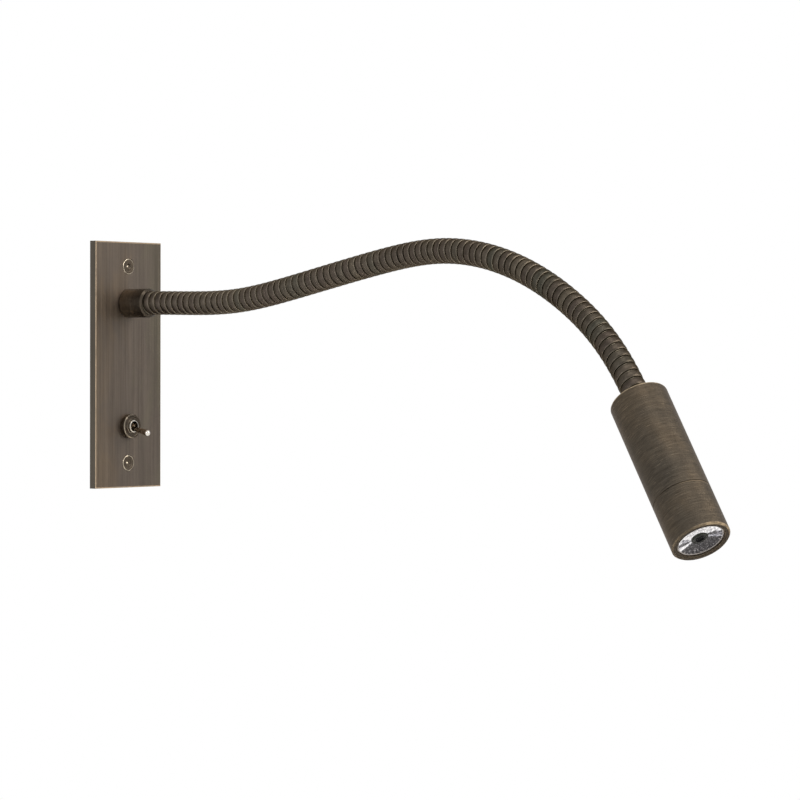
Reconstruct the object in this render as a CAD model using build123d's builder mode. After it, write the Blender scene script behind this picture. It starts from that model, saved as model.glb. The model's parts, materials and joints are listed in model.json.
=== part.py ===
from build123d import *
from math import cos, pi, radians, sin, tan
import os

# Bedside wall reading lamp. Millimetres, +Z up, the wall is the plane Y = 0 and the lamp stands out
# towards -Y. The origin is the centre of the back of the wall plate.

# ---- driving dimensions ----
plate_width = 45
plate_height = 120
plate_thick = 4
plate_edge = 0.3                 # small chamfer round the front of the plate
screw_spacing = 96
arm_height = 30                  # arm above the centre of the plate
switch_height = -30              # switch below it

collar_radius = 7
collar_length = 15
stud_radius = 4.95               # hollow threaded stud behind the collar
stud_length = 10.5
lead_bore = 2.5

neck_radius = 5.75
neck_root = 4.75                 # radius in the grooves between the bands
neck_bore = 3.2
band_count = 88                  # bands that show between the collar and the head
bands_per_section = 4
collar_bands = 2                 # bands hidden in the collar
groove_half = 0.5                # half the groove at its root, and half the gap at each joint
flank_width = 0.45

# through points of the arm's centre line, from the collar to the top of the head
arm_points = [
    (0, -19, 30), (-2.5, -79.5, 30.5), (-4.5, -117.5, 36.5), (-5, -169.5, 47),
    (-9.5, -210.5, 51), (-16, -254.5, 43.5), (-26, -299.5, 22), (-39, -338.5, -14.5),
]
head_turn = 22.5                 # degrees the head points to the left
head_drop = 49.5                 # degrees it points down

head_radius = 12.5
head_length = 73.5
seam_place = 51.5                # joint between barrel and bezel, from the top of the head
head_bore = 11
top_wall = 7
lens_opening = 10
lip_thick = 1
board_face = 60.2                # front of the lamp board, from the top of the head

lever_tilt = 13                  # degrees the lever leans down at rest
lever_pivot = 3                  # from the wall
lever_reach = 15.4               # pivot to tip

wire_radius = 0.8
wire_offset = 0.95               # each lead beside the centre line
wire_hole = 6.4                  # where the leads pass the lamp board, beside the head's axis

os.makedirs("parts", exist_ok=True)


def finish_piece(piece, name):
    piece.label = name
    export_step(piece, "parts/" + name + ".step")


# ---- directions and working planes ----
out = Vector(0, -1, 0)
sideways = Vector(1, 0, 0)
head_way = Vector(
    -sin(radians(head_turn)) * cos(radians(head_drop)),
    -cos(radians(head_turn)) * cos(radians(head_drop)),
    -sin(radians(head_drop)),
)
head_top = Vector(*arm_points[-1])
lever_way = Vector(0, -cos(radians(lever_tilt)), -sin(radians(lever_tilt)))
lever_point = Vector(0, -lever_pivot, switch_height)

# each side plane holds its axis as local X, so a turned profile is drawn as (distance, radius)
arm_side = Plane(origin=(0, 0, arm_height), x_dir=out, z_dir=sideways)
arm_axis = Axis((0, 0, arm_height), out)
switch_side = Plane(origin=(0, 0, switch_height), x_dir=out, z_dir=sideways)
switch_axis = Axis((0, 0, switch_height), out)
lever_side = Plane(origin=lever_point, x_dir=lever_way, z_dir=sideways)
lever_axis = Axis(lever_point, lever_way)
head_end = Plane(origin=head_top, x_dir=sideways, z_dir=head_way)
head_side = Plane(origin=head_top, x_dir=head_way, z_dir=head_end.x_dir)
head_axis = Axis(head_top, head_way)

with BuildLine() as neck_line:
    Spline(*arm_points, tangents=[out, head_way])
neck_edge = neck_line.edges()[0]
neck_length = neck_edge.length
band_pitch = neck_length / band_count
section_count = band_count // bands_per_section


def neck_plane(distance):
    """Plane across the arm, at a distance along it from the face of the collar."""
    if distance <= 0:
        return Plane(origin=Vector(*arm_points[0]) + out * distance, x_dir=sideways, z_dir=out)
    if distance >= neck_length:
        beyond = distance - neck_length
        return Plane(origin=head_top + head_way * beyond, x_dir=sideways, z_dir=head_way)
    place = neck_edge.position_at(distance / neck_length)
    way = neck_edge.tangent_at(distance / neck_length)
    return Plane(origin=place, x_dir=sideways, z_dir=way)


# ---- wall plate and its screws ----
screw_head = 4.0
screw_shank = 2.0
screw_neck = 1.75                # plain neck in the plate, thinner than the thread behind it
screw_length = 25
head_sink = 0.1
socket_width = 2.5
socket_depth = 1.6
bushing_radius = 3.0
plate_face = Plane.XZ.offset(plate_thick)

with BuildPart() as wall_plate:
    with BuildSketch(Plane.XZ):
        Rectangle(plate_width, plate_height)
    extrude(amount=plate_thick)
    chamfer(wall_plate.faces().sort_by(Axis.Y)[0].edges(), plate_edge)
    with Locations(plate_face):
        with GridLocations(1, screw_spacing, 1, 2):
            CounterSinkHole(screw_shank + 0.15, screw_head, counter_sink_angle=90)
        with Locations((0, arm_height)):
            Hole(stud_radius + 0.15)
        with Locations((0, switch_height)):
            Hole(bushing_radius + 0.1)
finish_piece(wall_plate.part, "wall_plate")

with BuildPart() as fixing_screws:
    for height in (screw_spacing / 2, -screw_spacing / 2):
        screw_side = Plane(origin=(0, 0, height), x_dir=out, z_dir=sideways)
        with BuildSketch(screw_side):
            with BuildLine():
                Polyline(
                    (plate_thick - head_sink, 0),
                    (plate_thick - head_sink, screw_head - head_sink),
                    (screw_neck, screw_neck),
                    (0, screw_neck),
                    (0, screw_shank),
                    (plate_thick - screw_length + 0.6, screw_shank),
                    (plate_thick - screw_length, screw_shank - 0.6),
                    (plate_thick - screw_length, 0),
                    close=True,
                )
            make_face()
        revolve(axis=Axis((0, 0, height), out))
    with BuildSketch(Plane.XZ.offset(plate_thick - head_sink - socket_depth)):
        with GridLocations(1, screw_spacing, 1, 2):
            RegularPolygon(socket_width / 2, 6, major_radius=False)
    extrude(amount=socket_depth, mode=Mode.SUBTRACT)
finish_piece(fixing_screws.part, "fixing_screws")

# ---- collar that holds the arm, with its hollow stud, washer and nut ----
socket_depth_in_collar = collar_bands * band_pitch - groove_half
collar_face = plate_thick + collar_length
collar_chamfer = 0.9
washer_radius = 8.5
washer_thick = 1.0
nut_across = 14                  # across the flats
nut_thick = 3.0
bush_rim = 1.0
bush_rim_radius = 3.9
bush_bore = 2.0
bush_grip = 4.0

with BuildPart() as arm_collar:
    with BuildSketch(arm_side):
        with BuildLine():
            Polyline(
                (plate_thick - stud_length, lead_bore),
                (plate_thick - stud_length, stud_radius - 0.5),
                (plate_thick - stud_length + 0.5, stud_radius),
                (plate_thick, stud_radius),
                (plate_thick, collar_radius - 0.2),
                (plate_thick + 0.2, collar_radius),
                (collar_face - collar_chamfer, collar_radius),
                (collar_face, collar_radius - collar_chamfer),
                (collar_face, neck_radius + 0.1),
                (collar_face - socket_depth_in_collar, neck_radius + 0.1),
                (collar_face - socket_depth_in_collar, lead_bore),
                close=True,
            )
        make_face()
    revolve(axis=arm_axis)
finish_piece(arm_collar.part, "arm_collar")

with BuildPart() as collar_washer:
    with BuildSketch(Plane.XZ.offset(-washer_thick)):
        with Locations((0, arm_height)):
            Circle(washer_radius)
            Circle(stud_radius + 0.15, mode=Mode.SUBTRACT)
    extrude(amount=washer_thick)
finish_piece(collar_washer.part, "collar_washer")

with BuildPart() as collar_nut:
    with BuildSketch(Plane.XZ.offset(-washer_thick - nut_thick)):
        with Locations((0, arm_height)):
            RegularPolygon(nut_across / 2, 6, major_radius=False)
            Circle(stud_radius + 0.05, mode=Mode.SUBTRACT)
    extrude(amount=nut_thick)
finish_piece(collar_nut.part, "collar_nut")

with BuildPart() as lead_bush:
    with BuildSketch(arm_side):
        with BuildLine():
            Polyline(
                (plate_thick - stud_length - bush_rim, bush_bore),
                (plate_thick - stud_length - bush_rim, bush_rim_radius),
                (plate_thick - stud_length, bush_rim_radius),
                (plate_thick - stud_length, lead_bore - 0.03),
                (plate_thick - stud_length + bush_grip, lead_bore - 0.03),
                (plate_thick - stud_length + bush_grip, bush_bore),
                close=True,
            )
        make_face()
    revolve(axis=arm_axis)
finish_piece(lead_bush.part, "lead_bush")

# ---- the banded flexible arm, in short sections that turn on one another ----
end_cuff = 2.5                   # plain end of the last section, sunk in the head


def band_circles(first_band, last_band):
    """Distance and radius of the four circles of each band."""
    circles = []
    for band in range(first_band, last_band):
        start = band * band_pitch
        end = start + band_pitch
        circles.append((start + groove_half, neck_root))
        circles.append((start + groove_half + flank_width, neck_radius))
        circles.append((end - groove_half - flank_width, neck_radius))
        circles.append((end - groove_half, neck_root))
    return circles


for index in range(section_count):
    first_band = index * bands_per_section
    last_band = first_band + bands_per_section
    if index == 0:
        first_band = -collar_bands
    circles = band_circles(first_band, last_band)
    if index == section_count - 1:
        cuff = circles[-1][0] + groove_half
        circles += [
            (cuff + groove_half, neck_root),
            (cuff + groove_half + flank_width, neck_radius),
            (cuff + end_cuff, neck_radius),
        ]
    with BuildPart() as neck_section:
        for distance, radius in circles:
            with BuildSketch(neck_plane(distance)):
                Circle(radius)
        loft(ruled=True)
        start, end = circles[0][0], circles[-1][0]
        for step in range(3):
            with BuildSketch(neck_plane(start + (end - start) * step / 2)):
                Circle(neck_bore)
        loft(ruled=True, mode=Mode.SUBTRACT)
    finish_piece(neck_section.part, f"neck_section_{index + 1:02d}")

# ---- end fitting of the arm inside the head ----
ferrule_bore = 2.4
ferrule_spigot = 6.0
ferrule_flange = 1.0
ferrule_end = 10.8

with BuildPart() as head_ferrule:
    with BuildSketch(head_side):
        with BuildLine():
            Polyline(
                (-ferrule_spigot, ferrule_bore),
                (-ferrule_spigot, neck_bore - 0.15),
                (end_cuff, neck_bore - 0.15),
                (end_cuff, neck_radius),
                (end_cuff + ferrule_flange, neck_radius),
                (end_cuff + ferrule_flange, stud_radius),
                (ferrule_end, stud_radius),
                (ferrule_end, ferrule_bore),
                close=True,
            )
        make_face()
    revolve(axis=head_axis)
finish_piece(head_ferrule.part, "head_ferrule")

with BuildPart() as head_nut:
    with BuildSketch(head_end.offset(top_wall)):
        RegularPolygon(nut_across / 2, 6, major_radius=False)
        Circle(stud_radius + 0.05, mode=Mode.SUBTRACT)
    extrude(amount=nut_thick)
finish_piece(head_nut.part, "head_nut")

# ---- lamp head: barrel, bezel, heat sink, lamp board, lens holder and lens ----
edge_round = 0.5
board_radius = 10
board_thick = 1.6
sink_start = 36
screw_pattern = 14               # the two screws that hold the lamp board
board_screw_radius = 0.8
board_screw_head = 1.9
board_screw_grip = 5
lens_face = head_length - lip_thick
lens_flange = 1.5
sink_hole_radius = 2.8           # one hole in the heat sink for both leads
lead_holes = ((wire_hole + wire_offset, 0), (wire_hole - wire_offset, 0))

with BuildPart() as head_barrel:
    with BuildSketch(head_side):
        with BuildLine():
            Polyline((edge_round, head_radius), (seam_place - 0.25, head_radius),
                     (seam_place, head_radius - 0.25), (seam_place, head_bore),
                     (top_wall, head_bore), (top_wall, stud_radius + 0.1),
                     (end_cuff + ferrule_flange, stud_radius + 0.1),
                     (end_cuff + ferrule_flange, neck_radius + 0.15),
                     (0, neck_radius + 0.15), (0, head_radius - edge_round))
            RadiusArc((0, head_radius - edge_round), (edge_round, head_radius), edge_round)
        make_face()
    revolve(axis=head_axis)
finish_piece(head_barrel.part, "head_barrel")

with BuildPart() as front_bezel:
    with BuildSketch(head_side):
        with BuildLine():
            Polyline(
                (seam_place, head_bore), (seam_place, head_radius - 0.25),
                (seam_place + 0.25, head_radius), (head_length - 0.6, head_radius),
                (head_length, head_radius - 0.6), (head_length, lens_opening + 0.4),
                (head_length - 0.4, lens_opening), (lens_face, lens_opening),
                (lens_face, head_bore), close=True,
            )
        make_face()
    revolve(axis=head_axis)
finish_piece(front_bezel.part, "front_bezel")

with BuildPart() as heat_sink:
    with BuildSketch(head_side):
        with BuildLine():
            Polyline(
                (sink_start, 0), (sink_start, head_bore - 0.65), (sink_start + 0.6, head_bore - 0.05),
                (board_face - board_thick, head_bore - 0.05), (board_face - board_thick, 0), close=True,
            )
        make_face()
    revolve(axis=head_axis)
    with BuildSketch(head_end.offset(sink_start)):
        with Locations((wire_hole, 0)):
            Circle(sink_hole_radius)
    extrude(amount=board_face - board_thick - sink_start, mode=Mode.SUBTRACT)
    with BuildSketch(head_end.offset(board_face - board_thick - board_screw_grip - 1)):
        with GridLocations(1, screw_pattern, 1, 2):
            Circle(board_screw_radius + 0.05)
    extrude(amount=board_screw_grip + 1, mode=Mode.SUBTRACT)
finish_piece(heat_sink.part, "heat_sink")

with BuildPart() as lamp_board:
    with BuildSketch(head_end.offset(board_face - board_thick)):
        Circle(board_radius)
        with GridLocations(1, screw_pattern, 1, 2):
            Circle(board_screw_radius + 0.3, mode=Mode.SUBTRACT)
        with Locations(*lead_holes):
            Circle(wire_radius + 0.05, mode=Mode.SUBTRACT)
    extrude(amount=board_thick)
finish_piece(lamp_board.part, "lamp_board")

with BuildPart() as board_screws:
    with BuildSketch(head_end.offset(board_face - board_thick - board_screw_grip)):
        with GridLocations(1, screw_pattern, 1, 2):
            Circle(board_screw_radius)
    extrude(amount=board_thick + board_screw_grip)
    with BuildSketch(head_end.offset(board_face)):
        with GridLocations(1, screw_pattern, 1, 2):
            Circle(board_screw_head)
    extrude(amount=1.2)
finish_piece(board_screws.part, "board_screws")

chip_width = 3.45
chip_thick = 0.8
dome_radius = 1.5

with BuildPart() as lamp_chip:
    with BuildSketch(head_end.offset(board_face)):
        Rectangle(chip_width, chip_width)
    extrude(amount=chip_thick)
    with BuildSketch(head_end.offset(board_face + chip_thick)):
        Circle(dome_radius)
    extrude(amount=1.0, taper=35)
finish_piece(lamp_chip.part, "lamp_chip")

with BuildPart() as solder_joints:
    with BuildSketch(head_end.offset(board_face)):
        with Locations(*lead_holes):
            Circle(wire_radius + 0.05)
    extrude(amount=0.7, taper=30)
finish_piece(solder_joints.part, "solder_joints")

lens_radius = 10.8
lens_back = lens_face - lens_flange
lens_foot = board_face + 1.2     # narrow end of the lens, over the lamp chip
lens_waist = lens_foot + 4       # where its curved side is measured
foot_radius = 3.6
waist_radius = 7.6
shoulder_radius = 9.9
well_radius = 2.7                # hollow at the narrow end, round the chip
dimple_radius = 2.6              # hollow in the middle of the face
dimple_depth = 1.6

with BuildPart() as lens:
    with BuildSketch(head_side):
        with BuildLine():
            Line((lens_foot, well_radius), (lens_foot, foot_radius))
            ThreePointArc((lens_foot, foot_radius), (lens_waist, waist_radius),
                          (lens_back, shoulder_radius))
            Polyline(
                (lens_back, shoulder_radius), (lens_back, lens_radius), (lens_face, lens_radius),
                (lens_face, dimple_radius), (lens_face - dimple_depth, dimple_radius - 0.4),
                (lens_face - dimple_depth, 0), (lens_foot + 4.2, 0),
                (lens_foot + 3.6, well_radius - 0.3), (lens_foot, well_radius),
            )
        make_face()
    revolve(axis=head_axis)
finish_piece(lens.part, "lens")

holder_wall = 0.8                # air between the holder and the side of the lens
with BuildPart() as lens_holder:
    with BuildSketch(head_side):
        with BuildLine():
            Polyline((lens_back, shoulder_radius + holder_wall - 0.2), (lens_back, head_bore - 0.2),
                     (board_face, head_bore - 0.2), (board_face, foot_radius + 1),
                     (lens_waist, waist_radius + holder_wall),
                     (lens_back, shoulder_radius + holder_wall - 0.2))
        make_face()
    revolve(axis=head_axis)
    with BuildSketch(head_end.offset(board_face)):
        with GridLocations(1, screw_pattern, 1, 2):
            Circle(board_screw_head + 0.4)
        with Locations(*lead_holes):
            Circle(wire_radius + 0.4)
    extrude(amount=1.6, mode=Mode.SUBTRACT)
finish_piece(lens_holder.part, "lens_holder")

# ---- toggle switch ----
# heights here are distances out from the wall, so what stands behind the plate is negative
ring_radius = 5.9
ring_thick = 3.0
bushing_end = 8.0
bushing_foot = 2.5               # its foot is riveted into the frame
bushing_mouth = 2.5
frame_thick = 0.8
frame_back = -1.6
case_back = -11.3
case_long = 13.2
case_wide = 7.9
case_wall = 1.2
case_room = 7.7                  # depth of the room for the rocker
frame_wide = 7
lug_long = 7                     # the frame's lugs fold back over the ends of the case
lug_wide = 5
lug_thick = 0.5
washer_half = 5.1
ball_radius = 2.05
rocker_pivot = -8.25
rocker_tilt = 9
terminal_spacing = 4.7
terminal_thick = 0.8
terminal_wide = 1.8
terminal_front = -8.3
terminal_end = -15.8

with BuildPart() as switch_washer:
    with BuildSketch(switch_side):
        with Locations((-frame_thick / 2, (bushing_radius + washer_half) / 2 + 0.05)):
            Rectangle(frame_thick, washer_half - bushing_radius)
    revolve(axis=switch_axis)
finish_piece(switch_washer.part, "switch_washer")

with BuildPart() as switch_ring:
    with BuildSketch(switch_side):
        with BuildLine():
            Polyline(
                (plate_thick, bushing_radius + 0.05), (plate_thick, ring_radius),
                (plate_thick + ring_thick - 0.5, ring_radius),
                (plate_thick + ring_thick, ring_radius - 0.5),
                (plate_thick + ring_thick, ring_radius - 0.9),
                (plate_thick + ring_thick - 0.3, ring_radius - 1.3),
                (plate_thick + ring_thick - 0.3, bushing_radius + 0.7),
                (plate_thick + ring_thick, bushing_radius + 0.4),
                (plate_thick + ring_thick, bushing_radius + 0.05), close=True,
            )
        make_face()
    revolve(axis=switch_axis)
finish_piece(switch_ring.part, "switch_ring")

with BuildPart() as switch_bushing:
    with BuildSketch(switch_side):
        with BuildLine():
            Polyline(
                (frame_back, ball_radius + 0.05), (frame_back, bushing_foot),
                (-frame_thick, bushing_foot), (-frame_thick, bushing_radius),
                (bushing_end - 0.3, bushing_radius), (bushing_end, bushing_radius - 0.3),
                (bushing_end, bushing_mouth), (lever_pivot + 1, ball_radius + 0.1),
                (lever_pivot - 1, ball_radius + 0.1), close=True,
            )
        make_face()
    revolve(axis=switch_axis)
finish_piece(switch_bushing.part, "switch_bushing")

shank_radius = 0.9
shank_length = 8
lever_taper = 5                  # the lever widens from here to its tip
lever_waist = 1.0
tip_radius = 1.5
ball_back = -(ball_radius ** 2 - shank_radius ** 2) ** 0.5
ball_front = (ball_radius ** 2 - lever_waist ** 2) ** 0.5

with BuildPart() as switch_lever:
    with BuildSketch(lever_side):
        with BuildLine():
            Polyline((ball_back, shank_radius), (-shank_length, shank_radius), (-shank_length, 0),
                     (lever_reach, 0))
            ThreePointArc(
                (lever_reach, 0),
                (lever_reach - tip_radius + tip_radius * cos(pi / 4), tip_radius * sin(pi / 4)),
                (lever_reach - tip_radius, tip_radius),
            )
            Polyline((lever_reach - tip_radius, tip_radius), (lever_taper, lever_waist),
                     (ball_front, lever_waist))
            ThreePointArc((ball_front, lever_waist), (0, ball_radius), (ball_back, shank_radius))
        make_face()
    revolve(axis=lever_axis)
finish_piece(switch_lever.part, "switch_lever")

plunger_radius = 1.3
plunger_reach = 10.68

with BuildPart() as switch_plunger:
    with BuildSketch(lever_side):
        with BuildLine():
            Polyline(
                (plunger_radius - plunger_reach, plunger_radius), (-6.2, plunger_radius),
                (-6.2, shank_radius + 0.04), (-shank_length - 0.4, shank_radius + 0.04),
                (-shank_length - 0.4, 0), (-plunger_reach, 0),
            )
            ThreePointArc(
                (-plunger_reach, 0),
                (plunger_radius * (1 - cos(pi / 4)) - plunger_reach, plunger_radius * sin(pi / 4)),
                (plunger_radius - plunger_reach, plunger_radius),
            )
        make_face()
    revolve(axis=lever_axis)
finish_piece(switch_plunger.part, "switch_plunger")

with BuildPart() as switch_frame:
    with BuildSketch(Plane.XZ.offset(frame_back)):
        with Locations((0, switch_height)):
            Rectangle(frame_wide, case_long + 2 * lug_thick)
            Circle(bushing_foot + 0.02, mode=Mode.SUBTRACT)
    extrude(amount=frame_thick)
    with BuildSketch(Plane.XZ.offset(frame_back - lug_long)):
        with Locations((0, switch_height)):
            with GridLocations(1, case_long + lug_thick, 1, 2):
                Rectangle(lug_wide, lug_thick)
    extrude(amount=lug_long)
finish_piece(switch_frame.part, "switch_frame")

with BuildPart() as switch_case:
    with BuildSketch(Plane.XZ.offset(case_back)):
        with Locations((0, switch_height)):
            RectangleRounded(case_wide, case_long, 0.4)
    extrude(amount=frame_back - case_back)
    with BuildSketch(Plane.XZ.offset(case_back + case_wall)):
        with Locations((0, switch_height)):
            Rectangle(case_wide - 2.1, case_long - 1.8)
    extrude(amount=case_room, mode=Mode.SUBTRACT)
    with BuildSketch(Plane.XZ.offset(frame_back - 1)):
        with Locations((0, switch_height)):
            Circle(2.3)
    extrude(amount=1, mode=Mode.SUBTRACT)
    with BuildSketch(Plane.XZ.offset(case_back)):
        with Locations((0, switch_height)):
            with GridLocations(1, terminal_spacing, 1, 3):
                Rectangle(terminal_thick, terminal_wide)
    extrude(amount=case_wall, mode=Mode.SUBTRACT)
finish_piece(switch_case.part, "switch_case")

with BuildPart() as switch_terminals:
    with BuildSketch(Plane.XZ.offset(terminal_end)):
        with Locations((0, switch_height)):
            with GridLocations(1, terminal_spacing, 1, 3):
                Rectangle(terminal_thick, terminal_wide)
    extrude(amount=terminal_front - terminal_end)
    with BuildSketch(Plane.YZ.offset(-1)):
        with Locations((-terminal_end - 1.5, switch_height)):
            with GridLocations(1, terminal_spacing, 1, 3):
                Circle(0.55)
    extrude(amount=2, mode=Mode.SUBTRACT)
finish_piece(switch_terminals.part, "switch_terminals")

# the rocker's two wings rise from its middle, and one lies flat on its contact at each end of the travel
rocker_half = 4.9
rocker_wide = 2.8
rocker_thick = 0.5
rocker_way = Vector(0, -cos(radians(rocker_tilt)), sin(radians(rocker_tilt)))
rocker_corner = Vector(-rocker_wide / 2, -rocker_pivot, switch_height)
rocker_side = Plane(origin=rocker_corner, x_dir=rocker_way, z_dir=sideways)
wing_rise = rocker_half * tan(radians(rocker_tilt))

with BuildPart() as switch_rocker:
    with BuildSketch(rocker_side):
        with BuildLine():
            Polyline(
                (0, 0), (wing_rise, rocker_half), (wing_rise + rocker_thick, rocker_half),
                (rocker_thick, 0), (wing_rise + rocker_thick, -rocker_half), (wing_rise, -rocker_half),
                close=True,
            )
        make_face()
    extrude(amount=rocker_wide)
finish_piece(switch_rocker.part, "switch_rocker")

# ---- the two leads, from the back of the collar through the arm to the lamp board ----
lead_start = collar_face + stud_length - plate_thick + bush_rim
lead_places = [6, 40, 76, 112, 148, 184, 220, 256, 292, 328]


def lead_route(side):
    """Corners of a lead's route, beside the centre line of the arm and then of the head."""
    beside = Vector(side * wire_offset, 0, 0)
    route = [neck_plane(distance).from_local_coords(beside) for distance in [-lead_start] + lead_places]
    for along, across in ((13, 0), (36.5, wire_hole), (board_face, wire_hole)):
        route.append(head_end.from_local_coords(beside + Vector(across, 0, along)))
    return route


def route_radii(route):
    """The largest arc at each corner that takes less than half of either run beside it."""
    radii = []
    for before, corner, after in zip(route, route[1:], route[2:]):
        turn = radians((corner - before).get_angle(after - corner))
        radii.append(0.45 * min((corner - before).length, (after - corner).length) / tan(turn / 2))
    return radii


for name, side in (("red_lead", 1), ("black_lead", -1)):
    route = lead_route(side)
    radii = route_radii(route)
    with BuildPart() as lead:
        with BuildLine() as lead_line:
            FilletPolyline(*route, radius=radii)
        with BuildSketch(Plane(origin=route[0], z_dir=out)):
            Circle(wire_radius)
        sweep()
    length = lead_line.wires()[0].length
    print(name, "length", round(length, 1), "radii", [round(radius) for radius in radii])
    print(name, "volume over section times length", lead.part.volume / (pi * wire_radius ** 2 * length))
    finish_piece(lead.part, name)
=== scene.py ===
import json
from math import cos, pi, radians, sin

import bpy
import numpy as np
from mathutils import Matrix, Vector


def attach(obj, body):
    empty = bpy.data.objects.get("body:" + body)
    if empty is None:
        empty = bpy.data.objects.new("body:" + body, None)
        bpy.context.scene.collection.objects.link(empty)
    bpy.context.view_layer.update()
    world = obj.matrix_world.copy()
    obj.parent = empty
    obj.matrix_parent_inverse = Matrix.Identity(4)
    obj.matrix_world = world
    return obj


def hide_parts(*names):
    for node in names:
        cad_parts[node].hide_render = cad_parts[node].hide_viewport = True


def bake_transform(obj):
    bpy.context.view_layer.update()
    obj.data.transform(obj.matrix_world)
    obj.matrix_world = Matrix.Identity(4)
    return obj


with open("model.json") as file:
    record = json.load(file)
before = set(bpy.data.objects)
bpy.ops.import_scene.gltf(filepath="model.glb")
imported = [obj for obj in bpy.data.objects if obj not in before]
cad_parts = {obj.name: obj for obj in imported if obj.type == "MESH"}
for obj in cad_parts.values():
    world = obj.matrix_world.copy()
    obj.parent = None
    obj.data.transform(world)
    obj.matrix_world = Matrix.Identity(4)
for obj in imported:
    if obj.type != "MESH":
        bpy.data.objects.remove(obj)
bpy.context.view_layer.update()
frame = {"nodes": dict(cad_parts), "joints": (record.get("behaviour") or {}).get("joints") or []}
nodes = frame["nodes"]
print("frame loaded,", len(nodes), "nodes")

# places in metres that several pieces share; the wall is the plane Y = 0
lampPlaces = {
    "collarFace": 0.019,                     # from the wall
    "armHeight": 0.030,
    "switchHeight": -0.030,
    "screwHeight": 0.048,
    "leverPivot": 0.003,                     # from the wall
    "leverTilt": 13,                         # degrees the lever leans down
}
metresPerMm = 0.001

# camera, where the photo was taken from
photoView = {
    "side": 50.0,                            # degrees to the left of straight ahead
    "rise": 0.63,
    "roll": 0.12,
    "lens": 144.5,                           # millimetres, like the sensor
    "sensor": 36,
    "plateAt": (-0.13564, 0.01725, -1.572),  # centre of the plate's back, seen from the camera
}


def makeCamera(view):
    turn = -radians(view["side"])
    rise = radians(view["rise"])
    roll = radians(view["roll"])
    back = Vector((sin(turn) * cos(rise), -cos(turn) * cos(rise), sin(rise)))
    level = Vector((cos(turn), sin(turn), 0))
    upright = back.cross(level)
    right = level * cos(roll) + upright * sin(roll)
    up = upright * cos(roll) - level * sin(roll)
    away = Vector(view["plateAt"])
    place = -(right * away.x + up * away.y + back * away.z)
    camera = bpy.data.objects.new("photoCamera", bpy.data.cameras.new("photoCamera"))
    bpy.context.scene.collection.objects.link(camera)
    camera.data.sensor_width = view["sensor"]
    camera.data.lens = view["lens"]
    turned = Matrix((right, up, back)).transposed().to_4x4()
    camera.matrix_world = Matrix.Translation(place) @ turned
    bpy.context.scene.camera = camera


makeCamera(photoView)
bpy.context.scene.view_settings.view_transform = "Standard"


# small helpers for the finishes
def feed(tree, socket, value):
    if isinstance(value, bpy.types.NodeSocket):
        tree.links.new(value, socket)
    else:
        socket.default_value = value


def work(tree, operation, first, second=0.0):
    node = tree.nodes.new("ShaderNodeMath")
    node.operation = operation
    feed(tree, node.inputs[0], first)
    feed(tree, node.inputs[1], second)
    return node.outputs[0]


def workVector(tree, operation, first, second=None, scale=None):
    node = tree.nodes.new("ShaderNodeVectorMath")
    node.operation = operation
    feed(tree, node.inputs[0], first)
    if second is not None:
        feed(tree, node.inputs[1], second)
    if scale is not None:
        feed(tree, node.inputs["Scale"], scale)
    return node.outputs["Value" if operation in ("DOT_PRODUCT", "LENGTH") else "Vector"]


def ramp(tree, value, low, high, toLow=0.0, toHigh=1.0):
    node = tree.nodes.new("ShaderNodeMapRange")
    node.interpolation_type = "SMOOTHSTEP"
    feed(tree, node.inputs["Value"], value)
    node.inputs["From Min"].default_value = low
    node.inputs["From Max"].default_value = high
    node.inputs["To Min"].default_value = toLow
    node.inputs["To Max"].default_value = toHigh
    return node.outputs["Result"]


def cloud(tree, vector, scale=(1, 1, 1), detail=4.0, rough=0.55, twist=0.0):
    stretched = workVector(tree, "MULTIPLY", vector, scale)
    node = tree.nodes.new("ShaderNodeTexNoise")
    feed(tree, node.inputs["Vector"], stretched)
    node.inputs["Scale"].default_value = 1.0
    node.inputs["Detail"].default_value = detail
    node.inputs["Roughness"].default_value = rough
    node.inputs["Distortion"].default_value = twist
    return node.outputs["Fac"]


def lines(tree, value, scale, detail=5.0, rough=0.6):
    node = tree.nodes.new("ShaderNodeTexNoise")
    node.noise_dimensions = "1D"
    feed(tree, node.inputs["W"], work(tree, "MULTIPLY", value, scale))
    node.inputs["Scale"].default_value = 1.0
    node.inputs["Detail"].default_value = detail
    node.inputs["Roughness"].default_value = rough
    return node.outputs["Fac"]


def tones(tree, value, stops):
    node = tree.nodes.new("ShaderNodeValToRGB")
    feed(tree, node.inputs["Fac"], value)
    strip = node.color_ramp
    while len(strip.elements) < len(stops):
        strip.elements.new(0.5)
    for element, (place, colour) in zip(strip.elements, stops):
        element.position = place
        element.color = (*colour, 1)
    return node.outputs["Color"]


def mixColours(tree, share, first, second, how="MIX"):
    node = tree.nodes.new("ShaderNodeMix")
    node.data_type = "RGBA"
    node.blend_type = how
    feed(tree, node.inputs["Factor"], share)
    colourSockets = [s for s in node.inputs if s.type == "RGBA"]
    for socket, value in zip(colourSockets, (first, second)):
        feed(tree, socket, value if isinstance(value, bpy.types.NodeSocket) else (*value, 1))
    return [s for s in node.outputs if s.type == "RGBA"][0]


def greyed(tree, colour, value, stretch, greys):
    # a colour times a grey that runs between two greys while the value crosses the stretch
    low, high = greys
    grey = tones(tree, ramp(tree, value, *stretch), ((0.0, (low,) * 3), (1.0, (high,) * 3)))
    return mixColours(tree, 1.0, colour, grey, "MULTIPLY")


def shared(tree, *parts):
    # the sum of values, each times its share
    total = None
    for value, share in parts:
        part = work(tree, "MULTIPLY", value, share)
        total = part if total is None else work(tree, "ADD", total, part)
    return total


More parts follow.
